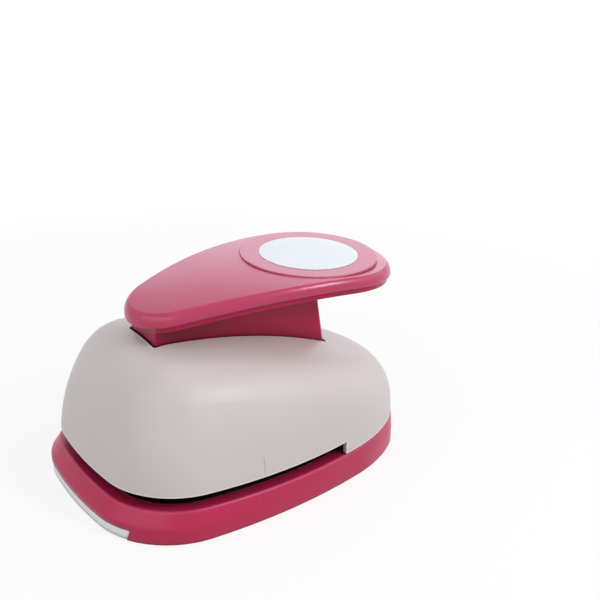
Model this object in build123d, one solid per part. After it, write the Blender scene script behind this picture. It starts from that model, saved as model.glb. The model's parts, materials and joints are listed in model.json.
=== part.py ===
from build123d import *
import os
from math import atan2, cos, degrees, hypot, pi, radians, sin, sqrt

# Circle punch, millimetres, +Z up, mouth side towards -Y, lever hinge axis along X.
# While the pieces are built, y = 0 is the front edge of the base; the whole is centred on export.

# Circle and the room round it
circle_size = 76.0
side_margin = 14.5
front_margin = 21.5
back_margin = 52.5
circle_radius = circle_size / 2
base_width = circle_size + 2 * side_margin
base_length = front_margin + circle_size + back_margin
die_centre_y = front_margin + circle_radius

# Base
base_wall = 2.6
base_bottom = 0.2
knee_height = 6.6
rim_height = 12.7
rim_front_inset = 4.5
rim_back_inset = 0.6
rim_side_inset = 1.9
rim_round = 0.9
deck_thickness = 3.6
chute_wall = 2.0
notch_side_gap = 14.8
notch_slant = 1.1
notch_top = 4.6
notch_depth = 21.0

# Die set
die_thickness = 2.0
guide_thickness = 1.5
paper_gap = 2.0
plate_inset = 6.0
guide_inset = 7.0
plate_back_gap = 31.0
plate_corner = 5.0
stop_depth = 16.0
cutter_clearance = 0.03
guide_clearance = 0.05
seat_clearance = 0.15
die_relief = 2.0
plate_back_y = base_length - plate_back_gap
mouth_end_y = plate_back_y - stop_depth

# Punch unit
cutter_thickness = 5.0
cutter_rest_gap = 0.5
cutter_land = 1.6
cutter_dish = 2.4
holder_inset = 4.0
holder_height = 6.0
flange_thickness = 3.0
flange_inset = 3.0
hub_radius = 7.9
hub_rib = 2.4
hub_rib_rise = 6.0
hub_rib_inset = 5.0
arm_neck = 1.6
pad_radius = 7.0
pad_thickness = 1.5
pad_sink = 0.6
pin_play = 0.1
post_gap = 4.4
post_diameter = 5.0
post_clearance = 0.05
post_foot = 1.6
bushing_wall = 1.6
bushing_collar = 1.0
ear_wall = 2.2
ring_thickness = 1.2
ring_width = 1.9
ring_groove = 0.4
ring_gap = 0.3
spring_wire = 0.9
spring_mean_radius = 3.75
spring_turns = 4.0
spring_play = 0.05
holder_radius = circle_radius - holder_inset
flange_radius = circle_radius - flange_inset
hub_rib_reach = flange_radius - hub_rib_inset

# Housing
housing_wall = 2.2
housing_inset = 0.2
skirt_gap = 0.15
mouth_height = 5.7
wall_curve_radius = 78.0
housing_top = 65.9
crest_lead = 14.0
crest_radius = 237.0
crown_radius = 110.0
housing_round = 24.0
slot_clearance = 0.8
boss_radius = 3.6
boss_inset = 27.5
boss_back_gap = 23.0
rear_boss_back_gap = 10.0

# Hinge
hinge_arm = 18.5
hinge_depth = 9.9
hinge_pin_diameter = 5.0
hinge_clearance = 0.04
hinge_boss_radius = 8.0
bracket_thickness = 2.0
bracket_foot = 8.0
bracket_front_gap = 1.0
bracket_web_drop = 18.0
bracket_slope = 3.0
bracket_eye = 6.6
cheek_gap = 1.0
clip_thickness = 1.0
clip_width = 2.0
clip_groove = 0.5
clip_play = 0.1
pin_overhang = 1.6
hinge_y = die_centre_y - hinge_arm
hinge_z = housing_top - hinge_depth
crest_y = hinge_y - crest_lead

# Lever
lever_nose = 13.6
lever_length = 118.8
lever_width = 65.5
arch_radius = 250.0
arch_lead = 68.2
arch_height = 26.4
cap_bottom = -1.4
cap_centre_rise = 4.3
cap_crown_radius = 500.0
cap_wall = 2.2
cap_roll_over = 0.2
cap_round = 4.8
cap_low_round = 0.8
seam_gap = 0.15
tray_inset = 1.3
tray_thickness = 2.4
tray_round = 0.6
stem_half_width = 11.0
stem_wall = 2.4
stem_drop = 14.0
stem_back_lead = 1.2
stem_back_slope = 4.1
stem_slope_height = 24.7
stem_corner = 1.4
stem_foot_run = 11.5
stem_rib = 2.0
rib_front_lead = 14.5
rib_back_lead = 34.5
plateau_radius = 29.2
plateau_edge = 6.2
plateau_rise = 4.05
plateau_inset = 2.4
plateau_tilt_degrees = -2.1
plateau_round = 0.5
disc_radius = 20.9
disc_thickness = 1.2
disc_proud = 0.15
disc_clearance = 0.1
press_pin_diameter = 6.0
press_wall = 2.5
lever_front_y = hinge_y - lever_nose
arch_apex_y = lever_front_y + arch_lead
arch_apex_z = hinge_z + arch_height
plateau_centre_y = lever_front_y + lever_length - plateau_radius - plateau_edge
stem_front_y = hinge_y - hinge_boss_radius
stem_top_back_y = plateau_centre_y - stem_back_lead
stem_low_back_y = stem_top_back_y + stem_back_slope
stem_low_z = hinge_z - stem_drop
stem_top_z = stem_low_z + stem_slope_height
rib_front_y = die_centre_y + rib_front_lead
rib_back_y = die_centre_y + rib_back_lead

# Fasteners
screw_diameter = 3.0
screw_head_diameter = 5.6
screw_head_height = 2.0
screw_bite = 10.0
small_screw_diameter = 2.5
small_head_diameter = 4.8
small_head_height = 1.4
die_screw_length = 8.0
die_screw_inset = 19.5
die_screw_front_gap = 0.5
die_screw_back_gap = 1.5
cutter_screw_inset = 10.0
rivet_x = 12.0
rivet_edge = 7.0
rivet_wide_inset = 22.5
rivet_wide_edge = 10.0
bracket_rivet_x = 7.0
bracket_rivet_diameter = 3.0
bracket_head_diameter = 5.4
bracket_head_height = 0.8
rivet_diameter = 4.0
rivet_head_diameter = 7.0
rivet_head_height = 1.2
fit_slack = 0.2
snug = 0.02
driver_slot = 0.7
cap_screw_x = 16.0
cap_screw_front_lead = 9.0
cap_screw_mid_lead = 26.5
cap_screw_rear_lead = 15.2

# Cover and feet
cover_thickness = 2.0
cover_gap = 0.3
lip_inset = 0.5
foot_radius = 6.0
foot_height = 1.3
foot_inset = 18.5
foot_rear_inset = 25.5
foot_front_y = 22.0
foot_back_gap = 38.0
cover_screw_inset = 32.5
cover_screw_rear_inset = 40.5
cover_screw_front_y = 14.0
cover_screw_back_gap = 12.0
cover_screw_length = 8.0
cover_boss_radius = 3.4

# Cuts and sweeps
cut_over = 1.0
flat_crown = 19000.0
sweep_back_share = 1.25
sweep_front_share = 1.6
arch_span_share = 0.8
facing_share = 0.9
round_limit_share = 0.82
wall_sections = 6

# Outline stations as shares of the half width and the length, with headings in the unit square
base_shares = [(0.4272, 0.0095, 2.55), (0.9995, 0.2336, 87.58), (0.7981, 0.7427, 130.44), (0.5621, 0.9035, 155.68)]
rim_shares = [(0.4354, 0.0092, 2.44), (0.9848, 0.2073, 75.75), (0.8070, 0.7504, 133.12), (0.5738, 0.9026, 156.03)]
lever_shares = [(0.3350, 0.0283, 10.57), (0.5547, 0.1035, 34.60), (1.0000, 0.7210, 87.44), (0.7115, 0.9181, 164.41)]

# Derived places
rim_length = base_length - rim_front_inset - rim_back_inset
rim_half_width = base_width / 2 - rim_side_inset
deck_low = rim_height - deck_thickness
cutter_radius = circle_radius - cutter_clearance
guide_low = rim_height + paper_gap
guide_top = guide_low + guide_thickness
cutter_low = guide_low + cutter_rest_gap
cutter_top = cutter_low + cutter_thickness
flange_low = cutter_top + holder_height
flange_top = flange_low + flange_thickness
press_pin_radius = press_pin_diameter / 2
press_pin_z = stem_low_z + press_wall + press_pin_radius
pad_top = press_pin_z - press_pin_radius - pin_play
pad_low = pad_top - pad_thickness
housing_low = rim_height + mouth_height
skirt_low = rim_height + skirt_gap
slot_half_width = stem_half_width + slot_clearance
cheek_inner = stem_half_width + cheek_gap
cheek_outer = cheek_inner + bracket_thickness
chute_radius = circle_radius + die_relief


# Below this the two directions count as one
tiny = 1e-9


def heading_vector(angle, half_width, length):
    x, y = cos(radians(angle)) * half_width, sin(radians(angle)) * length
    size = hypot(x, y)
    return x / size, y / size


def meet(p, t, q, u):
    """Joint of the two tangent arcs that lead from p along t to q along u."""
    v = q - p
    s = t + u
    a = 2 * (1 - t.dot(u))
    b = 2 * v.dot(s)
    c = v.dot(v)
    d = c / b if a < tiny else (-b + sqrt(b * b + 4 * a * c)) / (2 * a)
    return (p + t * d + q - u * d) / 2


def two_arcs(p, t, q, u):
    """The two arcs, each tangent to its neighbours."""
    joint = meet(p, t, q, u)
    first = Edge.make_tangent_arc(p, t, joint)
    last = Edge.make_tangent_arc(q, u * -1, joint)
    return [first, Edge.make_three_point_arc(joint, last @ 0.5, q)]


def outline(shares, half_width, length, front, inset, z):
    """Closed outline of tangent arcs, mirrored across x = 0, pulled in by the inset."""
    near = []
    for x_share, y_share, angle in shares:
        tx, ty = heading_vector(angle, half_width, length)
        x = x_share * half_width - ty * inset
        y = front + y_share * length + tx * inset
        near.append((Vector(x, y, z), Vector(tx, ty, 0)))
    far = [(Vector(-p.X, p.Y, z), Vector(t.X, -t.Y, 0)) for p, t in reversed(near)]
    stops = near + far
    edges = []
    for (p, t), (q, u) in zip(stops, stops[1:] + stops[:1]):
        edges += two_arcs(p, t, q, u)
    return Wire(edges)


def base_outline(inset, z):
    return outline(base_shares, base_width / 2, base_length, 0, inset, z)


def rim_outline(inset, z):
    return outline(rim_shares, rim_half_width, rim_length, rim_front_inset, inset, z)


def lever_outline(inset, z):
    return outline(lever_shares, lever_width / 2, lever_length, lever_front_y, inset, z)


def prism(wire, height):
    return extrude(Face(wire), amount=height, dir=(0, 0, 1))


def block(x0, x1, y0, y1, z0, z1):
    return Pos((x0 + x1) / 2, (y0 + y1) / 2, (z0 + z1) / 2) * Box(x1 - x0, y1 - y0, z1 - z0)


def rod(x, y, z0, z1, radius):
    return Pos(x, y, (z0 + z1) / 2) * Cylinder(radius, z1 - z0)


def cross_rod(y, z, half_length, radius):
    return Pos(0, y, z) * Rot(0, 90, 0) * Cylinder(radius, 2 * half_length)


def cone_head(x, y, z_wide, z_narrow, wide, narrow):
    """Countersunk head between two heights."""
    low, high = sorted((z_wide, z_narrow))
    r_low, r_high = (wide, narrow) if z_wide < z_narrow else (narrow, wide)
    return Pos(x, y, (low + high) / 2) * Cone(r_low, r_high, high - low)


def side_slab(points, half_width):
    """Plate with the given (y, z) corners, from -half_width to +half_width across."""
    face = Face(Wire.make_polygon([Vector(-half_width, y, z) for y, z in points], close=True))
    return extrude(face, amount=2 * half_width, dir=(1, 0, 0))


def mirrored(shape):
    return [shape, mirror(shape, Plane.YZ)]


def four_places(x, y0, y1):
    return [(-x, y0), (x, y0), (-x, y1), (x, y1)]


post_reach = (circle_radius + post_gap) / sqrt(2)
post_places = four_places(post_reach, die_centre_y - post_reach, die_centre_y + post_reach)
die_screw_places = four_places(base_width / 2 - die_screw_inset, die_centre_y - circle_radius + die_screw_front_gap,
                               die_centre_y + circle_radius + die_screw_back_gap)


# Base shell: vertical below the knee, drawn in to the rim above it
def flared(inset, z_low, z_high):
    lower = prism(base_outline(inset, z_low), knee_height - z_low)
    upper = loft([Face(base_outline(inset, knee_height)), Face(rim_outline(inset, z_high))], ruled=True)
    return lower + upper


def plate(inset, back_y, z, thickness, corner):
    """Flat plate in the rim's outline, cut straight at the back with round corners."""
    whole = prism(rim_outline(inset, z), thickness)
    cut = block(-base_width, base_width, back_y, base_length, z - cut_over, z + thickness + cut_over)
    flat = whole - cut
    ends = [e for e in flat.edges().filter_by(Axis.Z) if e.center().Y > back_y - corner / 2]
    return fillet(ends, corner)


def pan_screw(x, y, seat_z, length, diameter, head_diameter, head_height, up=True):
    """Screw with its head under the seat; it points up, or down where up is False."""
    way = 1 if up else -1
    head = rod(x, y, *sorted((seat_z, seat_z - way * head_height)), head_diameter / 2)
    shank = rod(x, y, *sorted((seat_z, seat_z + way * length)), diameter / 2)
    outer = seat_z - way * head_height
    slot_z = sorted((outer - way * cut_over, outer + way * driver_slot))
    slots = block(x - head_diameter / 3, x + head_diameter / 3, y - driver_slot / 2, y + driver_slot / 2, *slot_z)
    slots += block(x - driver_slot / 2, x + driver_slot / 2, y - head_diameter / 3, y + head_diameter / 3, *slot_z)
    return head + shank - slots


def flush_screw(x, y, face_z, length, up=True):
    """Countersunk screw with its head flush at face_z; it points up or down."""
    way = 1 if up else -1
    inner = face_z + way * small_head_height
    head = cone_head(x, y, face_z, inner, small_head_diameter / 2, small_screw_diameter / 2)
    shank = rod(x, y, *sorted((inner, face_z + way * length)), small_screw_diameter / 2)
    slot_z = sorted((face_z - way * cut_over, face_z + way * driver_slot))
    reach = small_head_diameter / 3
    slots = block(x - reach, x + reach, y - driver_slot / 2, y + driver_slot / 2, *slot_z)
    slots += block(x - driver_slot / 2, x + driver_slot / 2, y - reach, y + reach, *slot_z)
    return head + shank - slots


def flush_hole(x, y, face_z, through, slack, up=True):
    """Countersunk hole for a flush screw, through the given depth."""
    way = 1 if up else -1
    inner = face_z + way * small_head_height
    cone = cone_head(x, y, face_z, inner, small_head_diameter / 2 + slack, small_screw_diameter / 2 + slack)
    bore = rod(x, y, *sorted((face_z, face_z + way * through)), small_screw_diameter / 2 + slack)
    return cone + bore


def both_sides(x, y):
    return [(-x, y), (x, y)]


half_base = base_width / 2
cover_screw_places = both_sides(half_base - cover_screw_inset, cover_screw_front_y)
cover_screw_places += both_sides(half_base - cover_screw_rear_inset, base_length - cover_screw_back_gap)
foot_places = both_sides(half_base - foot_inset, foot_front_y)
foot_places += both_sides(half_base - foot_rear_inset, base_length - foot_back_gap)
housing_screw_places = both_sides(half_base - boss_inset, base_length - boss_back_gap)
housing_screw_places += [(0, base_length - rear_boss_back_gap)]
rivet_places = both_sides(rivet_x, plate_back_y - rivet_edge)
rivet_places += both_sides(half_base - rivet_wide_inset, plate_back_y - rivet_wide_edge)
cover_top = base_bottom + cover_thickness
seat_low = rim_height - die_thickness


def notch_wedge(slack):
    """Front notch of the base: its ends lean, wider at the top."""
    high, low = notch_top - slack, base_bottom - cut_over
    wide = half_base - notch_side_gap - slack
    narrow = wide - notch_slant * (high - low) / (notch_top - base_bottom)
    corners = [Vector(-narrow, -cut_over, low), Vector(narrow, -cut_over, low), Vector(wide, -cut_over, high),
               Vector(-wide, -cut_over, high)]
    return extrude(Face(Wire.make_polygon(corners, close=True)), amount=notch_depth + cut_over, dir=(0, 1, 0))


def make_base():
    outer = flared(0, base_bottom, rim_height)
    top = outer.faces().sort_by(Axis.Z)[-1]
    outer = fillet(top.edges(), rim_round)
    inner = flared(base_wall, base_bottom - cut_over, deck_low)
    shell = outer - inner
    shell += rod(0, die_centre_y, cover_top, deck_low + deck_thickness / 2, chute_radius + chute_wall)
    for x, y in cover_screw_places:
        shell += rod(x, y, cover_top, deck_low + deck_thickness / 2, cover_boss_radius)
    for x, y in die_screw_places:
        shell += rod(x, y, rim_height - die_screw_length - cut_over, deck_low + deck_thickness / 2, cover_boss_radius)
    shell -= rod(0, die_centre_y, 0, rim_height + cut_over, chute_radius)
    shell -= plate(plate_inset - seat_clearance, plate_back_y + seat_clearance, seat_low, die_thickness + cut_over,
                   plate_corner)
    for x, y in cover_screw_places:
        shell -= rod(x, y, 0, base_bottom + cover_screw_length + fit_slack, small_screw_diameter / 2 + snug)
    for x, y in die_screw_places:
        shell -= rod(x, y, rim_height - die_screw_length - fit_slack, rim_height, small_screw_diameter / 2 + snug)
    for x, y in housing_screw_places:
        shell -= rod(x, y, 0, rim_height + cut_over, screw_diameter / 2 + fit_slack)
    shell -= notch_wedge(0) - prism(base_outline(base_wall + cut_over, -2 * cut_over), 2 * notch_top)
    return shell


def make_cover():
    flat = prism(base_outline(base_wall + cover_gap, base_bottom), cover_thickness)
    band = prism(base_outline(lip_inset, base_bottom), notch_top - base_bottom - fit_slack)
    band -= prism(base_outline(base_wall + cover_gap + cover_thickness, cover_top), notch_top)
    flat += band & notch_wedge(fit_slack)
    flat -= rod(0, die_centre_y, 0, notch_top, chute_radius - fit_slack)
    for x, y in cover_screw_places:
        flat -= flush_hole(x, y, base_bottom, cover_thickness + fit_slack, snug)
    for x, y in foot_places:
        flat -= rod(x, y, base_bottom - cut_over, foot_height, foot_radius + snug)
    return flat


def make_die_plate():
    die = plate(plate_inset, plate_back_y, seat_low, die_thickness, plate_corner)
    die -= rod(0, die_centre_y, seat_low - cut_over, rim_height + cut_over, circle_radius)
    for x, y in die_screw_places:
        die -= flush_hole(x, y, rim_height, die_thickness + fit_slack, snug, up=False)
    for x, y in rivet_places:
        die -= cone_head(x, y, seat_low, rim_height, rivet_head_diameter / 2 + snug, rivet_diameter / 2 + snug)
    return die


def make_guide_plate():
    guide = plate(guide_inset, plate_back_y, guide_low, guide_thickness, plate_corner)
    guide -= rod(0, die_centre_y, guide_low - cut_over, guide_top + cut_over, cutter_radius + guide_clearance)
    for x, y in rivet_places:
        guide -= rod(x, y, guide_low, guide_top, rivet_diameter / 2 + snug)
    for x, y in post_places:
        guide -= cone_head(x, y, guide_low, guide_top, post_diameter / 2 + post_foot + snug, post_diameter / 2 + snug)
    for x in (-bracket_rivet_x, bracket_rivet_x):
        guide -= cone_head(x, bracket_rivet_y, guide_low, guide_top, bracket_rivet_diameter + snug,
                           bracket_rivet_diameter / 2 + snug)
    return guide


def make_paper_stop():
    stop = plate(guide_inset, plate_back_y, rim_height, paper_gap, plate_corner)
    stop -= block(-base_width, base_width, 0, mouth_end_y, 0, guide_top)
    stop -= rod(0, die_centre_y, rim_height, guide_low, circle_radius + die_relief)
    for x, y in rivet_places:
        stop -= rod(x, y, rim_height, guide_low, rivet_diameter / 2 + snug)
    return stop


def make_die_rivets():
    rivets = []
    for x, y in rivet_places:
        rivet = cone_head(x, y, seat_low, rim_height, rivet_head_diameter / 2, rivet_diameter / 2)
        rivet += rod(x, y, rim_height, guide_top, rivet_diameter / 2)
        rivet += rod(x, y, guide_top, guide_top + rivet_head_height, rivet_head_diameter / 2)
        rivets.append(rivet)
    return rivets


foot_front = rim_front_inset + guide_inset + bracket_front_gap
foot_back = foot_front + bracket_foot
bracket_rivet_y = (foot_front + bracket_thickness + foot_back) / 2
eye_low = hinge_z - bracket_eye
web_top = eye_low - bracket_web_drop
eye_high = hinge_z + bracket_eye - bracket_thickness / 2


def make_bracket():
    points = [(foot_front, guide_top), (foot_back, guide_top), (foot_back, web_top),
              (hinge_y, eye_low - bracket_slope), (hinge_y + bracket_eye, hinge_z - bracket_eye / 2),
              (hinge_y + bracket_eye, eye_high), (hinge_y - bracket_eye, eye_high),
              (hinge_y - bracket_eye, hinge_z), (foot_front, web_top)]
    both = side_slab(points, cheek_outer)
    gap = side_slab(points, cheek_inner)
    cheeks = both - gap
    foot = block(-cheek_outer, cheek_outer, foot_front, foot_back, guide_top, guide_top + bracket_thickness)
    web = block(-cheek_outer, cheek_outer, foot_front, foot_front + bracket_thickness, guide_top, web_top)
    whole = cheeks + foot + web
    whole -= cross_rod(hinge_y, hinge_z, cheek_outer + cut_over, hinge_pin_diameter / 2 + snug)
    for x in (-bracket_rivet_x, bracket_rivet_x):
        whole -= rod(x, bracket_rivet_y, guide_top, guide_top + bracket_thickness, bracket_rivet_diameter / 2 + snug)
    return whole


def make_bracket_rivets():
    rivets = []
    radius = bracket_rivet_diameter / 2
    seat = guide_top + bracket_thickness
    for x in (-bracket_rivet_x, bracket_rivet_x):
        rivet = cone_head(x, bracket_rivet_y, guide_low, guide_top, 2 * radius, radius)
        rivet += rod(x, bracket_rivet_y, guide_top, seat, radius)
        rivet += rod(x, bracket_rivet_y, seat, seat + bracket_head_height, bracket_head_diameter / 2)
        rivets.append(rivet)
    return rivets


clip_inner = cheek_outer + clip_play
clip_outer = clip_inner + clip_thickness
pin_half = clip_outer + pin_overhang
groove_radius = hinge_pin_diameter / 2 - clip_groove


def make_hinge_pin():
    pin = cross_rod(hinge_y, hinge_z, pin_half, hinge_pin_diameter / 2)
    pin = chamfer(pin.edges().filter_by(GeomType.CIRCLE), clip_groove / 2)
    groove = block(clip_inner, clip_outer, 0, base_length, 0, 2 * hinge_z)
    groove -= cross_rod(hinge_y, hinge_z, 2 * pin_half, groove_radius)
    for cut in mirrored(groove):
        pin -= cut
    return pin


def make_pin_clips():
    ring = cross_rod(hinge_y, hinge_z, clip_outer - snug, hinge_pin_diameter / 2 + clip_width)
    ring &= block(clip_inner + snug, clip_outer - snug, 0, base_length, 0, 2 * hinge_z)
    ring -= cross_rod(hinge_y, hinge_z, 2 * pin_half, groove_radius + snug)
    ring -= block(0, 2 * pin_half, hinge_y - groove_radius, hinge_y + groove_radius, 0, hinge_z)
    return mirrored(ring)


bushing_radius = post_diameter / 2 + post_clearance + bushing_wall
ear_radius = bushing_radius + ear_wall
bushing_top = flange_top + bushing_collar
ring_low = bushing_top + ring_gap
post_top = ring_low + 2 * ring_thickness
post_groove_radius = post_diameter / 2 - ring_groove


def make_post(x, y):
    post = cone_head(x, y, guide_low, guide_top, post_diameter / 2 + post_foot, post_diameter / 2)
    post += rod(x, y, guide_top, post_top, post_diameter / 2)
    groove = rod(x, y, ring_low, ring_low + ring_thickness, post_diameter)
    post -= groove - rod(x, y, ring_low, ring_low + ring_thickness, post_groove_radius)
    return post


def make_post_rings():
    rings = []
    for x, y in post_places:
        ring = rod(x, y, ring_low + snug, ring_low + ring_thickness - snug, post_diameter / 2 + ring_width)
        ring -= rod(x, y, ring_low, ring_low + ring_thickness, post_groove_radius + snug)
        ring -= block(x, x + base_width, y - post_groove_radius, y + post_groove_radius, ring_low, post_top)
        rings.append(ring)
    return rings


def make_spring(x, y):
    low = guide_top + spring_wire / 2 + spring_play
    high = flange_low - spring_wire / 2 - spring_play
    steps = round(4 * spring_turns)
    rise = (high - low) / (2 * pi * spring_turns)
    stops = []
    for k in range(steps + 1):
        a = k * pi / 2
        place = Vector(x + spring_mean_radius * cos(a), y + spring_mean_radius * sin(a), low + rise * a)
        way = Vector(-spring_mean_radius * sin(a), spring_mean_radius * cos(a), rise).normalized()
        stops.append((place, way))
    edges = []
    for (p, t), (q, u) in zip(stops, stops[1:]):
        edges += two_arcs(p, t, q, u)
    section = Plane(origin=stops[0][0], z_dir=stops[0][1]) * Circle(spring_wire / 2)
    return sweep(section, path=Wire(edges))


def make_cutter():
    cutter = rod(0, die_centre_y, cutter_low, cutter_top, cutter_radius)
    cutter -= rod(0, die_centre_y, cutter_low, cutter_low + cutter_dish, cutter_radius - cutter_land)
    for x, y in cutter_screw_places:
        cutter -= rod(x, y, cutter_low + cutter_dish, cutter_top, small_screw_diameter / 2 + snug)
    return cutter


cutter_screw_places = []
for k in range(3):
    turn = radians(90 + 120 * k)
    reach = holder_radius - cutter_screw_inset
    cutter_screw_places.append((reach * cos(turn), die_centre_y + reach * sin(turn)))


def make_holder():
    holder = rod(0, die_centre_y, cutter_top, flange_low, holder_radius)
    holder += rod(0, die_centre_y, flange_low, flange_top, flange_radius)
    for x, y in post_places:
        holder += rod(x, y, flange_low, flange_top, ear_radius)
        arm = block(0, hypot(x, y - die_centre_y), arm_neck - ear_radius, ear_radius - arm_neck, flange_low, flange_top)
        holder += Pos(0, die_centre_y, 0) * Rot(0, 0, degrees(atan2(y - die_centre_y, x))) * arm
    holder += rod(0, die_centre_y, flange_low, pad_low + pad_sink, hub_radius)
    for angle in (0, 90, 180, 270):
        points = [Vector(0, 0, flange_low), Vector(hub_rib_reach, 0, flange_low), Vector(hub_rib_reach, 0, flange_top),
                  Vector(hub_radius, 0, flange_top + hub_rib_rise), Vector(0, 0, flange_top + hub_rib_rise)]
        rib = extrude(Face(Wire.make_polygon(points, close=True)), amount=hub_rib / 2, dir=(0, 1, 0), both=True)
        holder += Pos(0, die_centre_y, 0) * Rot(0, 0, angle) * rib
    for x, y in post_places:
        holder -= rod(x, y, flange_low - cut_over, flange_top + cut_over, bushing_radius + snug)
    for x, y in cutter_screw_places:
        holder -= rod(x, y, cutter_top - cut_over, flange_top + hub_rib_rise, small_screw_diameter / 2 + fit_slack)
        holder -= rod(x, y, flange_top, flange_top + hub_rib_rise, small_head_diameter / 2 + fit_slack)
    holder -= rod(0, die_centre_y, pad_low, pad_top, pad_radius + snug)
    return holder


def make_bushing(x, y):
    bushing = rod(x, y, flange_low, flange_top, bushing_radius)
    bushing += rod(x, y, flange_top, bushing_top, bushing_radius + bushing_collar)
    bushing -= rod(x, y, flange_low - cut_over, bushing_top + cut_over, post_diameter / 2 + post_clearance)
    return bushing


def make_wear_pad():
    return rod(0, die_centre_y, pad_low, pad_top, pad_radius)


# Housing: the plan outline pulled in along a large arc as it rises, under a crowned top
def wall_inset(z):
    rise = max(z - skirt_low, 0)
    return wall_curve_radius - sqrt(wall_curve_radius ** 2 - rise ** 2)


def walls(inset, z_low, z_high):
    sections = []
    for k in range(wall_sections + 1):
        z = z_low + (z_high - z_low) * k / wall_sections
        sections.append(Face(rim_outline(inset + wall_inset(z), z)))
    return loft(sections)


def arched(radius, apex_y, apex_z, low, high, half_width, crown, back, forward):
    """Bent bar along Y between two heights from the apex, its top crowned across X."""
    axis = Axis((0, apex_y, apex_z - radius), (1, 0, 0))
    drop = crown - sqrt(crown ** 2 - half_width ** 2)
    left, right = Vector(-half_width, apex_y, apex_z + high - drop), Vector(half_width, apex_y, apex_z + high - drop)
    low_left, low_right = Vector(-half_width, apex_y, apex_z + low), Vector(half_width, apex_y, apex_z + low)
    top = Edge.make_three_point_arc(left, Vector(0, apex_y, apex_z + high), right)
    sides = [Edge.make_line(right, low_right), Edge.make_line(low_right, low_left), Edge.make_line(low_left, left)]
    face = Face(Wire([top] + sides)).rotate(axis, -back)
    return revolve(face, axis, back + forward)


def housing_body(inset, drop, z_low, round_radius):
    body = walls(inset, z_low, housing_top + cut_over)
    back = degrees((base_length - crest_y) / crest_radius) * sweep_back_share
    forward = degrees(crest_y / crest_radius) * sweep_front_share
    body &= arched(crest_radius, crest_y, housing_top, -housing_top, -drop, base_width / 2, crown_radius, back, forward)
    top = body.faces().sort_by(Axis.Z)[-1]
    narrowest = rim_half_width - inset - wall_inset(housing_top)
    return fillet(top.edges(), min(round_radius, round_limit_share * narrowest))


def make_housing():
    outer = housing_body(housing_inset, 0, skirt_low, housing_round)
    inner = housing_body(housing_inset + housing_wall, housing_wall, skirt_low - cut_over, housing_round - housing_wall)
    shell = outer - inner
    for x, y in housing_screw_places:
        shell += rod(x, y, skirt_low, housing_top, boss_radius) & outer
    rest = block(cheek_inner, cheek_outer, hinge_y - bracket_eye, hinge_y + bracket_eye, eye_high + fit_slack,
                 housing_top)
    for part in mirrored(rest):
        shell += part & outer
    for x, y in housing_screw_places:
        shell -= rod(x, y, skirt_low - cut_over, skirt_low + screw_bite + cut_over, screw_diameter / 2 + snug)
    shell -= block(-base_width, base_width, -cut_over, mouth_end_y, 0, housing_low)
    slot_front = stem_front_y - slot_clearance
    slot = block(-slot_half_width, slot_half_width, slot_front, stem_low_back_y, skirt_low, housing_top + cut_over)
    slot = fillet(slot.edges().filter_by(Axis.Z), stem_corner)
    return shell - slot


# Lever
def lever_arch(low, high, crown):
    span = degrees(lever_length / arch_radius) * arch_span_share
    return arched(arch_radius, arch_apex_y, arch_apex_z, low, high, lever_width / 2 + cut_over, crown, span, span)


def lever_column(inset):
    return prism(lever_outline(inset, stem_low_z), arch_apex_z)


def tilted(shape_radius, low, high):
    """Short cylinder square to the palm's plateau, between two heights from its centre."""
    centre = Location((0, plateau_centre_y, plateau_z), (plateau_tilt_degrees, 0, 0))
    return centre * Pos(0, 0, (low + high) / 2) * Cylinder(shape_radius, high - low)


tray_high = cap_bottom - seam_gap
tray_low = tray_high - tray_thickness
plateau_drop = arch_radius - sqrt(arch_radius ** 2 - (plateau_centre_y - arch_apex_y) ** 2)
plateau_z = arch_apex_z - plateau_drop + plateau_rise
cap_screw_places = [(0, hinge_y + cap_screw_front_lead), (0, die_centre_y + cap_screw_mid_lead)]
cap_screw_places += both_sides(cap_screw_x, plateau_centre_y + cap_screw_rear_lead)


def make_cap():
    outer = lever_column(0) & lever_arch(cap_bottom, cap_centre_rise + cap_roll_over, flat_crown)
    top = outer.faces().sort_by(Axis.Z)[-1]
    outer = fillet(top.edges(), cap_round)
    low = [f for f in outer.faces() if f.normal_at().Z < -facing_share]
    outer = fillet(low[0].edges(), cap_low_round)
    outer &= lever_arch(cap_bottom - cut_over, cap_centre_rise, cap_crown_radius)
    inner = lever_column(cap_wall) & lever_arch(cap_bottom - cut_over, cap_centre_rise - cap_wall, cap_crown_radius)
    raised = tilted(plateau_radius, -plateau_rise, 0)
    raised = fillet(raised.edges().group_by(Axis.Z)[-1], plateau_round)
    shell = outer + (raised & lever_column(plateau_inset)) - inner
    bosses = Part()
    for x, y in cap_screw_places:
        bosses += rod(x, y, stem_low_z, arch_apex_z + plateau_rise, cover_boss_radius)
    filled = lever_column(cap_wall / 2) & lever_arch(tray_high, cap_centre_rise - cap_wall / 2, cap_crown_radius)
    shell += bosses & filled
    shell -= tilted(disc_radius + disc_clearance, disc_proud - disc_thickness, plateau_rise)
    for x, y in cap_screw_places:
        z = tray_z(y)
        shell -= rod(x, y, z - cut_over, z + small_head_height + plateau_rise / 2, small_screw_diameter / 2 + snug)
    return shell


def tray_z(y):
    """Height of the tray's top face at a given y."""
    return arch_apex_z - arch_radius + sqrt((arch_radius + tray_high) ** 2 - (y - arch_apex_y) ** 2)


def cap_seat(y):
    """Height of the cap screws' seats under the tray."""
    return tray_z(y) - tray_thickness


def make_disc():
    disc = tilted(disc_radius, disc_proud - disc_thickness, disc_proud)
    return disc


def stem_points(inset, z_low):
    slope = (stem_low_back_y - stem_top_back_y) / (stem_top_z - stem_low_z)
    high = arch_apex_z + plateau_rise
    boss = hinge_boss_radius
    front = stem_front_y + inset
    return [(front, high), (front, hinge_z - boss / 2), (hinge_y, hinge_z - boss + inset / 2),
            (hinge_y + stem_foot_run, z_low), (stem_low_back_y - inset + slope * (stem_low_z - z_low), z_low),
            (stem_low_back_y - inset - slope * (high - stem_low_z), high)]


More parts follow.
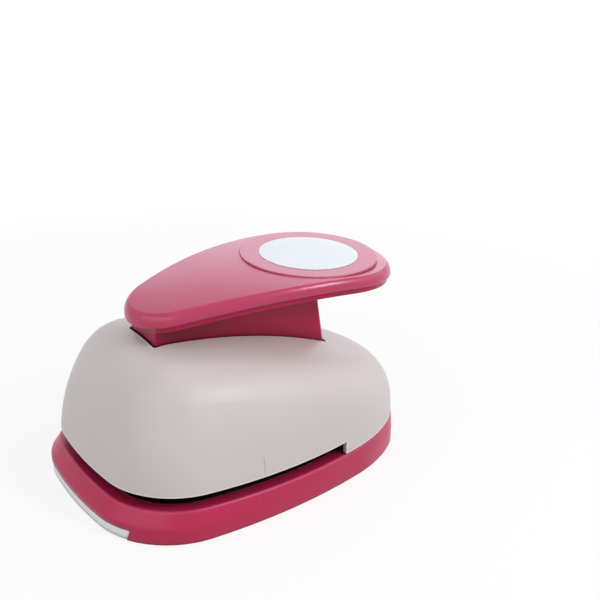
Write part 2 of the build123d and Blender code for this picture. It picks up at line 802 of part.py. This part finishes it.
def make_lever_body():
    tray = lever_column(tray_inset) & lever_arch(tray_low, tray_high, flat_crown)
    under = [f for f in tray.faces() if f.normal_at().Z < -facing_share]
    tray = fillet(under[0].edges(), tray_round)
    tray -= block(-lever_width, lever_width, 0, stem_front_y, 0, 2 * arch_apex_z)
    stem = side_slab(stem_points(0, stem_low_z), stem_half_width)
    upright = [e for e in stem.edges() if abs((e % 0.5).Z) > facing_share and abs(e.center().X) > stem_half_width - snug]
    stem = fillet(upright, stem_corner)
    hollow = side_slab(stem_points(stem_wall, stem_low_z - cut_over), stem_half_width - stem_wall)
    ribs = Part()
    for y in (rib_front_y, rib_back_y):
        ribs += block(-stem_half_width + stem_wall / 2, stem_half_width - stem_wall / 2, y, y + stem_rib,
                      stem_low_z + stem_rib, arch_apex_z)
    boss = cross_rod(hinge_y, hinge_z, stem_half_width, hinge_boss_radius)
    inner_drum = cross_rod(arch_apex_y, arch_apex_z - arch_radius, 2 * stem_half_width,
                           arch_radius + (tray_low + tray_high) / 2)
    solid = tray + ((stem - hollow + (ribs & stem) + boss) & inner_drum)
    solid -= cross_rod(hinge_y, hinge_z, 2 * stem_half_width, hinge_pin_diameter / 2 + hinge_clearance)
    solid -= cross_rod(die_centre_y, press_pin_z, 2 * stem_half_width, press_pin_radius + snug)
    for x, y in cap_screw_places:
        z = tray_z(y)
        solid -= rod(x, y, z - 2 * tray_thickness, z + cut_over, small_screw_diameter / 2 + fit_slack)
        solid -= rod(x, y, cap_seat(y) - small_head_height, cap_seat(y), small_head_diameter / 2 + fit_slack)
    return solid


def make_press_pin():
    return cross_rod(die_centre_y, press_pin_z, stem_half_width, press_pin_radius)


def make_cap_screws():
    screws = []
    for x, y in cap_screw_places:
        screws.append(pan_screw(x, y, cap_seat(y) - snug, tray_thickness + small_head_height, small_screw_diameter,
                                small_head_diameter, small_head_height))
    return screws


os.makedirs("parts", exist_ok=True)


def write(node, shape):
    whole = Compound(children=list(shape)) if isinstance(shape, list) else shape
    placed = Pos(0, -base_length / 2, 0) * whole
    export_step(placed, "parts/" + node + ".step")


write("base", make_base())
write("bottom_cover", make_cover())
for k, (x, y) in enumerate(foot_places):
    write("foot_%d" % (k + 1), rod(x, y, 0, foot_height, foot_radius))
write("cover_screws", [flush_screw(x, y, base_bottom, cover_screw_length) for x, y in cover_screw_places])
write("die_plate", make_die_plate())
write("die_screws", [flush_screw(x, y, rim_height, die_screw_length, up=False) for x, y in die_screw_places])
write("paper_stop", make_paper_stop())
write("guide_plate", make_guide_plate())
write("die_rivets", make_die_rivets())
write("hinge_bracket", make_bracket())
write("bracket_rivets", make_bracket_rivets())
write("hinge_pin", make_hinge_pin())
write("pin_clips", make_pin_clips())
for k, (x, y) in enumerate(post_places):
    write("guide_post_%d" % (k + 1), make_post(x, y))
    write("return_spring_%d" % (k + 1), make_spring(x, y))
    write("bushing_%d" % (k + 1), make_bushing(x, y))
write("post_rings", make_post_rings())
write("cutter", make_cutter())
write("cutter_holder", make_holder())
write("cutter_screws", [pan_screw(x, y, flange_top, flange_top - cutter_low - cutter_dish - fit_slack,
                                  small_screw_diameter, small_head_diameter, small_head_height, up=False)
                        for x, y in cutter_screw_places])
write("wear_pad", make_wear_pad())
write("housing", make_housing())
write("housing_screws", [pan_screw(x, y, deck_low, screw_bite + deck_thickness + skirt_gap, screw_diameter,
                                   screw_head_diameter, screw_head_height) for x, y in housing_screw_places])
write("lever_body", make_lever_body())
write("lever_cap", make_cap())
write("label_disc", make_disc())
write("press_pin", make_press_pin())
write("cap_screws", make_cap_screws())
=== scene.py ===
import json
import math
import bpy
import bmesh
from mathutils import Matrix, Vector


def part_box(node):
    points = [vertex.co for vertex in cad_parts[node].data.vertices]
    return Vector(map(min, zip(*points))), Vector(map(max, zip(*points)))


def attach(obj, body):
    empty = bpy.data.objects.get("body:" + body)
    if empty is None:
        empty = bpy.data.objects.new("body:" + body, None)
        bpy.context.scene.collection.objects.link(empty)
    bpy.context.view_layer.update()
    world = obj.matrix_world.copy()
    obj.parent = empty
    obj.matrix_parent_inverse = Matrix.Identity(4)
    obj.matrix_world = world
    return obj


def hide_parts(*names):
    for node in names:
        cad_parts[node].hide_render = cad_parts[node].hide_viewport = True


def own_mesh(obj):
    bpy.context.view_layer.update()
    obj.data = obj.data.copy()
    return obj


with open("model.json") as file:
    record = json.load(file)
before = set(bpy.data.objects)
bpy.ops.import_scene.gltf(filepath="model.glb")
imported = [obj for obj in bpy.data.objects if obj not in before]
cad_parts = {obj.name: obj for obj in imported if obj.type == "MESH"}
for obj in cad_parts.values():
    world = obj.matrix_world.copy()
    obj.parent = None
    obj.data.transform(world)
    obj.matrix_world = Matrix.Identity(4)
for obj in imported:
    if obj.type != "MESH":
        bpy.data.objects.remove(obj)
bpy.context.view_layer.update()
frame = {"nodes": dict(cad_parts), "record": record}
nodes = frame["nodes"]
scene = bpy.context.scene

MM = 0.001
WHITE = (1.0, 1.0, 1.0)

# Sockets of the Mix node, which repeats its names for each kind of data
MIX_FACTOR = 0
MIX_VECTORS = (4, 5)
MIX_VECTOR_OUT = 1
MIX_COLOURS = (6, 7)
MIX_COLOUR_OUT = 2

# Sample counts of the bevel and occlusion nodes
BEVEL_SAMPLES = 6
OCCLUSION_SAMPLES = 8


def linear(channel):
    """One channel of a colour as it looks on screen, 0 to 255, turned into a linear value."""
    c = channel / 255.0
    return c / 12.92 if c <= 0.04045 else ((c + 0.055) / 1.055) ** 2.4


def colour(red, green, blue):
    return (linear(red), linear(green), linear(blue), 1.0)


class Tree:
    """A new material with short names for the nodes that it needs."""

    def __init__(self, name):
        self.material = bpy.data.materials.new(name)
        self.material.use_nodes = True
        self.nodes = self.material.node_tree.nodes
        self.links = self.material.node_tree.links
        self.shader = self.nodes["Principled BSDF"]
        self.place = self.add("ShaderNodeTexCoord").outputs["Object"]

    def add(self, kind, **values):
        node = self.nodes.new(kind)
        for key, value in values.items():
            setattr(node, key, value)
        return node

    def set(self, name, value):
        self.shader.inputs[name].default_value = value

    def join(self, output, name):
        self.links.new(output, self.shader.inputs[name])

    def feed(self, socket, value):
        """Gives a socket a plain value or links an output to it."""
        if isinstance(value, (float, tuple)):
            socket.default_value = value
        else:
            self.links.new(value, socket)

    def calc(self, operation, *values):
        node = self.add("ShaderNodeMath", operation=operation)
        for socket, value in zip(node.inputs, values):
            self.feed(socket, value)
        return node.outputs[0]

    def times(self, first, second):
        return self.calc("MULTIPLY", first, second)

    def noise(self, scale, detail=2.0, rough=0.5, place=None):
        node = self.add("ShaderNodeTexNoise")
        node.inputs["Scale"].default_value = scale
        node.inputs["Detail"].default_value = detail
        node.inputs["Roughness"].default_value = rough
        self.links.new(place or self.place, node.inputs["Vector"])
        return node.outputs["Fac"]

    def ramp(self, value, low, high, start=0.35, end=0.65):
        """low where the value is at start or less, high where it is at end or more, and between them evenly."""
        node = self.add("ShaderNodeMapRange")
        node.inputs["From Min"].default_value = start
        node.inputs["From Max"].default_value = end
        node.inputs["To Min"].default_value = low
        node.inputs["To Max"].default_value = high
        self.links.new(value, node.inputs["Value"])
        return node.outputs["Result"]

    def blend(self, share, first, second):
        """Mix of two colours: the first where the share is 0."""
        node = self.add("ShaderNodeMix", data_type="RGBA")
        self.links.new(share, node.inputs[MIX_FACTOR])
        for index, value in zip(MIX_COLOURS, (first, second)):
            self.feed(node.inputs[index], value)
        return node.outputs[MIX_COLOUR_OUT]

    def bump(self, height, strength, distance, normal=None):
        node = self.add("ShaderNodeBump")
        node.inputs["Strength"].default_value = strength
        node.inputs["Distance"].default_value = distance
        self.links.new(height, node.inputs["Height"])
        if normal is not None:
            self.links.new(normal, node.inputs["Normal"])
        return node.outputs["Normal"]

    def part(self, axis):
        """One coordinate of the place on the object."""
        parts = self.add("ShaderNodeSeparateXYZ")
        self.links.new(self.place, parts.inputs[0])
        return parts.outputs[axis]

    def real_normal(self):
        return self.add("ShaderNodeNewGeometry").outputs["Normal"]

    def rounded_normal(self, radius):
        node = self.add("ShaderNodeBevel", samples=BEVEL_SAMPLES)
        node.inputs["Radius"].default_value = radius
        return node.outputs["Normal"]

    def edge(self, radius):
        """1 along edges, where a rounded normal leaves the real one, and 0 on plain faces."""
        dot = self.add("ShaderNodeVectorMath", operation="DOT_PRODUCT")
        self.links.new(self.rounded_normal(radius), dot.inputs[0])
        self.links.new(self.real_normal(), dot.inputs[1])
        return self.ramp(dot.outputs["Value"], 1.0, 0.0, EDGE_SHARP, EDGE_FLAT)

    def painted_shade_mask(self, distance, dark, clear, foot=None):
        """0 in gaps and seams, where painted shade goes, and 1 on open faces and below the foot height."""
        hollow = self.add("ShaderNodeAmbientOcclusion", samples=OCCLUSION_SAMPLES)
        hollow.inputs["Distance"].default_value = distance
        open_face = self.ramp(hollow.outputs["AO"], 0.0, 1.0, dark, clear)
        if foot is None:
            return open_face
        low_down = self.ramp(self.part("Z"), 1.0, 0.0, foot, foot + FOOT_FADE)
        return self.calc("MAXIMUM", open_face, low_down)

    def soft_knee(self, radius, top):
        """Normal that runs smoothly over creases below a height."""
        mix = self.add("ShaderNodeMix", data_type="VECTOR")
        self.links.new(self.ramp(self.part("Z"), 1.0, 0.0, top, top + KNEE_FADE), mix.inputs[MIX_FACTOR])
        for index, normal in zip(MIX_VECTORS, (self.real_normal(), self.rounded_normal(radius))):
            self.links.new(normal, mix.inputs[index])
        return mix.outputs[MIX_VECTOR_OUT]

    def line(self, middle, width, low, high):
        """1 on a thin upright line at y = middle between two heights."""
        away = self.calc("ABSOLUTE", self.calc("SUBTRACT", self.part("Y"), middle))
        across = self.ramp(away, 1.0, 0.0, width * LINE_CORE, width / 2)
        fade = (high - low) * LINE_FADE
        above = self.ramp(self.part("Z"), 0.0, 1.0, low, low + fade)
        below = self.ramp(self.part("Z"), 1.0, 0.0, high - fade, high)
        return self.times(across, self.times(above, below))


# Where masks start and end: dot products, open shares and heights
EDGE_SHARP = 0.95
EDGE_FLAT = 0.998
# Open shares where the painted shade in gaps is full and where it ends
SHADE_DARK = 0.4
SHADE_CLEAR = 0.85
PLATE_SHADE_DARK = 0.5
PLATE_SHADE_CLEAR = 0.95
FOOT_FADE = 2.0 * MM
KNEE_FADE = 1.5 * MM
# Heights over the foot where the painted edge highlight begins and where it is full
HIGHLIGHT_ABOVE_FOOT = 3.0 * MM
HIGHLIGHT_FULL_ABOVE_FOOT = 4.5 * MM
LINE_CORE = 0.2
LINE_FADE = 0.25

# Noise scales, per metre, and depths of the surface grain
CLOUD_SCALE = 28.0
GLOSS_SCALE = 40.0
EDGE_HIGHLIGHT_SCALE = 160.0
GRAIN_SCALE = 2600.0
GRAIN_DEPTH = 0.05 * MM
TONE_SCALE = 60.0
BRUSH_SCALE = 900.0
BRUSH_DEPTH = 0.04 * MM
BRUSH_STRENGTH = 0.1
RUBBER_TONE_SCALE = 300.0
RUBBER_GLOSS_SCALE = 900.0
RUBBER_GRAIN_SCALE = 1800.0
RUBBER_DEPTH = 0.1 * MM
RUBBER_STRENGTH = 0.25
PLASTIC_IOR = 1.5
USUAL_SPECULAR = 0.5


def moulded(name, main, pale, rough, grain=0.12, painted_edge_highlight=None, edge_highlight_share=0.5, painted_shade_and_mark=None, gap=6.0 * MM, mark=None, foot=None,
            knee=None, edge_width=0.6 * MM, specular=USUAL_SPECULAR):
    """Moulded plastic: slight cloudiness, fine grain, uneven gloss, paler edges as a painted highlight and dark
    gaps and seams as painted shade.
    """
    t = Tree(name)
    skin = t.blend(t.ramp(t.noise(CLOUD_SCALE, 3.0, 0.55), 0.0, 1.0, 0.3, 0.7), colour(*main), colour(*pale))
    # Painted highlight: a paler colour along rounded edges, broken up by noise
    if painted_edge_highlight:
        patchy = t.ramp(t.noise(EDGE_HIGHLIGHT_SCALE, 3.0, 0.6), 0.7 * edge_highlight_share, edge_highlight_share)
        edges = t.times(t.edge(edge_width), patchy)
        if foot:
            higher = t.ramp(t.part("Z"), 0.0, 1.0, foot + HIGHLIGHT_ABOVE_FOOT, foot + HIGHLIGHT_FULL_ABOVE_FOOT)
            edges = t.times(edges, higher)
        skin = t.blend(edges, skin, colour(*painted_edge_highlight))
    if mark:
        middle, low, high, depth = mark
        skin = t.blend(t.times(t.line(middle, MARK_WIDTH, low, high), depth), skin, colour(*painted_shade_and_mark))
    # Painted shade: gaps and seams take the dark colour, where less light reaches them
    if painted_shade_and_mark:
        skin = t.blend(t.painted_shade_mask(gap, SHADE_DARK, SHADE_CLEAR, foot), colour(*painted_shade_and_mark), skin)
    t.join(skin, "Base Color")
    t.join(t.ramp(t.noise(GLOSS_SCALE, 3.0), *rough), "Roughness")
    normal = t.soft_knee(*knee) if knee else None
    t.join(t.bump(t.noise(GRAIN_SCALE), grain, GRAIN_DEPTH, normal), "Normal")
    t.set("IOR", PLASTIC_IOR)
    t.set("Specular IOR Level", specular)
    return t.material


def metal(name, main, pale, rough, stretch=None, painted_shade_and_mark=None, gap=None):
    """Brushed or plated metal; stretch draws its fine lines out along the axis where it is small."""
    t = Tree(name)
    t.set("Metallic", 1.0)
    place = t.place
    if stretch:
        mapping = t.add("ShaderNodeMapping")
        mapping.inputs["Scale"].default_value = stretch
        t.links.new(t.place, mapping.inputs["Vector"])
        place = mapping.outputs["Vector"]
    lines = t.noise(BRUSH_SCALE, 3.0, 0.6, place)
    skin = t.blend(t.noise(TONE_SCALE, 3.0), colour(*main), colour(*pale))
    # Painted shade: the metal takes a dark colour in gaps, under the parts above it
    if painted_shade_and_mark:
        skin = t.blend(t.painted_shade_mask(gap, PLATE_SHADE_DARK, PLATE_SHADE_CLEAR), colour(*painted_shade_and_mark), skin)
    t.join(skin, "Base Color")
    t.join(t.ramp(lines, rough - 0.06, rough + 0.1), "Roughness")
    t.join(t.bump(lines, BRUSH_STRENGTH, BRUSH_DEPTH), "Normal")
    return t.material


def rubbery(name, main, pale):
    t = Tree(name)
    t.join(t.blend(t.noise(RUBBER_TONE_SCALE, 4.0), colour(*main), colour(*pale)), "Base Color")
    t.join(t.ramp(t.noise(RUBBER_GLOSS_SCALE, 3.0), 0.62, 0.82), "Roughness")
    t.join(t.bump(t.noise(RUBBER_GRAIN_SCALE), RUBBER_STRENGTH, RUBBER_DEPTH), "Normal")
    return t.material


# Fine marks at the die's centre line: place along y, lower end, upper end and depth of colour
MARK_WIDTH = 0.5 * MM
BASE_MARK = (-16.4 * MM, 7.0 * MM, 13.5 * MM, 0.2)
SHELL_MARK = (-15.2 * MM, 18.5 * MM, 28.0 * MM, 0.45)

# The dark colour of each material is painted shade in gaps and seams, and also colours the fine marks; its paler
# edge colour is a painted highlight along rounded edges
paint = {
    "base_pink": moulded("rose_base", (190, 34, 82), (194, 38, 86), (0.3, 0.36), painted_edge_highlight=(236, 128, 160), edge_highlight_share=0.8,
                         painted_shade_and_mark=(60, 2, 20), gap=9.0 * MM, mark=BASE_MARK, foot=6.0 * MM, knee=(3.0 * MM, 8.5 * MM),
                         edge_width=1.2 * MM, specular=0.35),
    "lever_pink": moulded("rose_lever", (174, 8, 64), (179, 11, 68), (0.26, 0.32), painted_edge_highlight=(214, 84, 116), edge_highlight_share=0.35,
                          painted_shade_and_mark=(84, 6, 28), gap=12.0 * MM, specular=0.32),
    "cap_pink": moulded("rose_cap", (190, 48, 94), (194, 52, 98), (0.22, 0.27), grain=0.08, painted_edge_highlight=(226, 124, 154),
                        edge_highlight_share=0.45, painted_shade_and_mark=(116, 14, 46), gap=2.0 * MM),
    "shell_grey": moulded("warm_grey", (212, 203, 202), (216, 207, 206), (0.39, 0.45), painted_edge_highlight=(250, 246, 245),
                          edge_highlight_share=0.9, painted_shade_and_mark=(120, 108, 106), gap=3.0 * MM, mark=SHELL_MARK, edge_width=1.3 * MM),
    "disc_white": moulded("disc_white", (224, 226, 232), (227, 229, 235), (0.3, 0.38), grain=0.05,
                          painted_edge_highlight=(240, 241, 244), edge_highlight_share=0.4, painted_shade_and_mark=(150, 140, 146), gap=1.0 * MM),
    "cover_grey": moulded("cover_grey", (250, 250, 251), (252, 252, 253), (0.4, 0.5), grain=0.2,
                          painted_edge_highlight=(244, 243, 244), painted_shade_and_mark=(120, 118, 120), gap=3.0 * MM),
    "holder_black": moulded("holder_black", (46, 46, 49), (56, 56, 60), (0.4, 0.55), grain=0.3),
    "bushing_white": moulded("bushing_white", (228, 225, 216), (235, 233, 226), (0.35, 0.45), grain=0.1),
    "plate_steel": metal("strip_steel", (176, 177, 180), (190, 190, 193), 0.34, (0.05, 1.0, 1.0),
                         painted_shade_and_mark=(80, 26, 40), gap=12.0 * MM),
    "tool_steel": metal("ground_steel", (166, 167, 170), (182, 183, 186), 0.26, (1.0, 0.06, 1.0)),
    "zinc_steel": metal("zinc_plate", (196, 197, 200), (208, 209, 212), 0.24),
    "spring_steel": metal("spring_wire", (150, 151, 156), (170, 171, 175), 0.28),
    "foot_rubber": rubbery("foot_rubber", (38, 38, 40), (52, 52, 54)),
}
for entry in frame["record"]["subparts"]:
    piece = nodes[entry["node"]]
    piece.data.materials.clear()
    piece.data.materials.append(paint[entry["material_slot"]])

# Return springs with closed ends, built as fixed coils; the real springs shorten as the punch goes down
WIRE = 0.9 * MM
WIRE_SIDES = 12
COIL_TURNS = 4.6
COIL_CLOSED = 0.75
COIL_CLOSED_PITCH = 0.9 * WIRE
COIL_STEPS = 40
SPRINGS = 4


def coil_rise(turned, height):
    """Height of the wire's middle after some turns: slow in the closed ends, steady between them."""
    close_rise = COIL_CLOSED * COIL_CLOSED_PITCH
    if turned < COIL_CLOSED:
        return close_rise * turned / COIL_CLOSED
    if turned > COIL_TURNS - COIL_CLOSED:
        return height - close_rise * (COIL_TURNS - turned) / COIL_CLOSED
    share = (turned - COIL_CLOSED) / (COIL_TURNS - 2 * COIL_CLOSED)
    return close_rise + (height - 2 * close_rise) * share


def wire_ring(coil, place, outward):
    """One ring of vertices round the wire's middle."""
    ring = []
    for j in range(WIRE_SIDES):
        around = 2 * math.pi * j / WIRE_SIDES
        lift = Vector((0.0, 0.0, math.sin(around)))
        ring.append(coil.verts.new(place + (outward * math.cos(around) + lift) * WIRE / 2))
    return ring


def make_coil(node):
    low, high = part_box(node)
    middle_x = (low[0] + high[0]) / 2
    middle_y = (low[1] + high[1]) / 2
    reach = (high[0] - low[0] - WIRE) / 2
    height = high[2] - low[2] - WIRE
    steps = round(COIL_STEPS * COIL_TURNS)
    coil = bmesh.new()
    rings = []
    for k in range(steps + 1):
        turned = COIL_TURNS * k / steps
        angle = 2 * math.pi * turned
        outward = Vector((math.cos(angle), math.sin(angle), 0.0))
        centre = Vector((middle_x, middle_y, low[2] + WIRE / 2 + coil_rise(turned, height)))
        rings.append(wire_ring(coil, centre + outward * reach, outward))
    for first, second in zip(rings, rings[1:]):
        for j in range(WIRE_SIDES):
            n = (j + 1) % WIRE_SIDES
            coil.faces.new((first[j], first[n], second[n], second[j]))
    coil.faces.new(rings[0][::-1])
    coil.faces.new(rings[-1])
    bmesh.ops.recalc_face_normals(coil, faces=coil.faces)
    mesh = bpy.data.meshes.new("coil_" + node)
    coil.to_mesh(mesh)
    coil.free()
    for face in mesh.polygons:
        face.use_smooth = len(face.vertices) == 4
    piece = bpy.data.objects.new("coil_" + node, mesh)
    scene.collection.objects.link(piece)
    mesh.materials.append(paint["spring_steel"])
    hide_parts(node)
    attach(piece, "case")
    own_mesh(piece)


for number in range(1, SPRINGS + 1):
    make_coil("return_spring_%d" % number)

# Camera, at the angle of the photograph
CAMERA_RIGHT = Vector((0.542345, 0.839924, 0.019746))
CAMERA_UP = Vector((-0.329116, 0.190772, 0.924818))
CAMERA_AHEAD = Vector((-0.77301, 0.508069, -0.379897))
CAMERA_PLACE = Vector((389.685, -224.049, 256.855)) * MM
SENSOR_WIDTH = 36.0
FOCAL_PIXELS = 1180.6116
PHOTO_WIDTH = 600.0
CLIP_START = 0.01


def make_camera():
    camera = bpy.data.objects.new("camera", bpy.data.cameras.new("camera"))
    scene.collection.objects.link(camera)
    turn = Matrix((CAMERA_RIGHT, CAMERA_UP, -CAMERA_AHEAD)).transposed().to_4x4()
    camera.matrix_world = Matrix.Translation(CAMERA_PLACE) @ turn
    camera.data.sensor_width = SENSOR_WIDTH
    camera.data.lens = FOCAL_PIXELS / PHOTO_WIDTH * SENSOR_WIDTH
    camera.data.clip_start = CLIP_START
    return camera


scene.camera = make_camera()
scene.view_settings.view_transform = "Standard"


def seen_directly(tree):
    """1 for camera, glossy and transmission rays, which see the white background."""
    path = tree.nodes.new("ShaderNodeLightPath")
    total = path.outputs["Is Camera Ray"]
    for name in ("Is Glossy Ray", "Is Transmission Ray"):
        add = tree.nodes.new("ShaderNodeMath")
        add.operation = "ADD"
        add.use_clamp = True
        tree.links.new(total, add.inputs[0])
        tree.links.new(path.outputs[name], add.inputs[1])
        total = add.outputs[0]
    return total


# Floor just under the feet: its own light hides it on the white ground, less so near the object's soft shadow
FLOOR_REACH = 6.0
FLOOR_HEIGHT = -0.1 * MM
FLOOR_GREY = (0.6, 0.6, 0.6, 1.0)
FLOOR_ROUGHNESS = 0.9
FLOOR_GLOW = 1.27
GLOW_SHARE_NEAR = 0.62
GLOW_SHARE_FAR = 1.0
GLOW_NEAR = 0.3
GLOW_FAR = 0.9


def make_floor():
    mesh = bpy.data.meshes.new("floor")
    signs = ((-1, -1), (1, -1), (1, 1), (-1, 1))
    mesh.from_pydata([(FLOOR_REACH * x, FLOOR_REACH * y, FLOOR_HEIGHT) for x, y in signs], [], [(0, 1, 2, 3)])
    floor = bpy.data.objects.new("floor", mesh)
    scene.collection.objects.link(floor)
    t = Tree("floor_paper")
    t.set("Roughness", FLOOR_ROUGHNESS)
    t.set("Specular IOR Level", 0.0)
    t.set("Base Color", FLOOR_GREY)
    glow = t.add("ShaderNodeEmission")
    glow.inputs["Color"].default_value = (*WHITE, 1.0)
    glow.inputs["Strength"].default_value = FLOOR_GLOW
    far = t.add("ShaderNodeVectorMath", operation="LENGTH")
    t.links.new(t.place, far.inputs[0])
    share = t.ramp(far.outputs["Value"], GLOW_SHARE_NEAR, GLOW_SHARE_FAR, GLOW_NEAR, GLOW_FAR)
    mix = t.add("ShaderNodeMixShader")
    t.links.new(t.times(seen_directly(t.material.node_tree), share), mix.inputs[0])
    t.links.new(t.shader.outputs[0], mix.inputs[1])
    t.links.new(glow.outputs[0], mix.inputs[2])
    t.links.new(mix.outputs[0], t.nodes["Material Output"].inputs["Surface"])
    mesh.materials.append(t.material)


make_floor()

# World: a low even light on the object, and white where it is seen
WORLD_LIGHT = 0.48
WORLD_SEEN = 1.0


def make_world():
    world = bpy.data.worlds.new("studio")
    scene.world = world
    world.use_nodes = True
    tree = world.node_tree
    background = tree.nodes["Background"]
    background.inputs["Color"].default_value = (*WHITE, 1.0)
    level = tree.nodes.new("ShaderNodeMapRange")
    level.inputs["To Min"].default_value = WORLD_LIGHT
    level.inputs["To Max"].default_value = WORLD_SEEN
    tree.links.new(seen_directly(tree), level.inputs["Value"])
    tree.links.new(level.outputs["Result"], background.inputs["Strength"])


make_world()

# Lamps: name, bearing, height angle, width, height, power and tint
LAMP_AIM = Vector((0.0, 0.0, 40.0 * MM))
LAMP_DISTANCE = 1.2
COOL = (0.75, 0.87, 1.0)
LAMPS = [
    ("key", 31, 37, 0.3, 0.3, 4.2, WHITE),
    ("back", 144, 20, 1.0, 0.58, 2.5, COOL),
    ("side", 70, 24, 1.4, 0.6, 2.0, WHITE),
    ("front", -75, 30, 1.6, 0.6, 3.4, WHITE),
    ("top", 0, 88, 0.8, 0.8, 0.8, WHITE),
]


def softbox(name, bearing, lift, width, height, power, tint):
    """Soft lamp at a bearing and a height angle from the middle of the object, in degrees."""
    lamp = bpy.data.lights.new(name, "AREA")
    lamp.shape = "RECTANGLE"
    lamp.size = width
    lamp.size_y = height
    lamp.energy = power
    lamp.color = tint
    box = bpy.data.objects.new(name, lamp)
    scene.collection.objects.link(box)
    turn = math.radians(bearing)
    tilt = math.radians(lift)
    line = Vector((math.cos(turn) * math.cos(tilt), math.sin(turn) * math.cos(tilt), math.sin(tilt)))
    box.location = LAMP_AIM + line * LAMP_DISTANCE
    box.rotation_euler = (-line).to_track_quat("-Z", "Y").to_euler()


for lamp_values in LAMPS:
    softbox(*lamp_values)
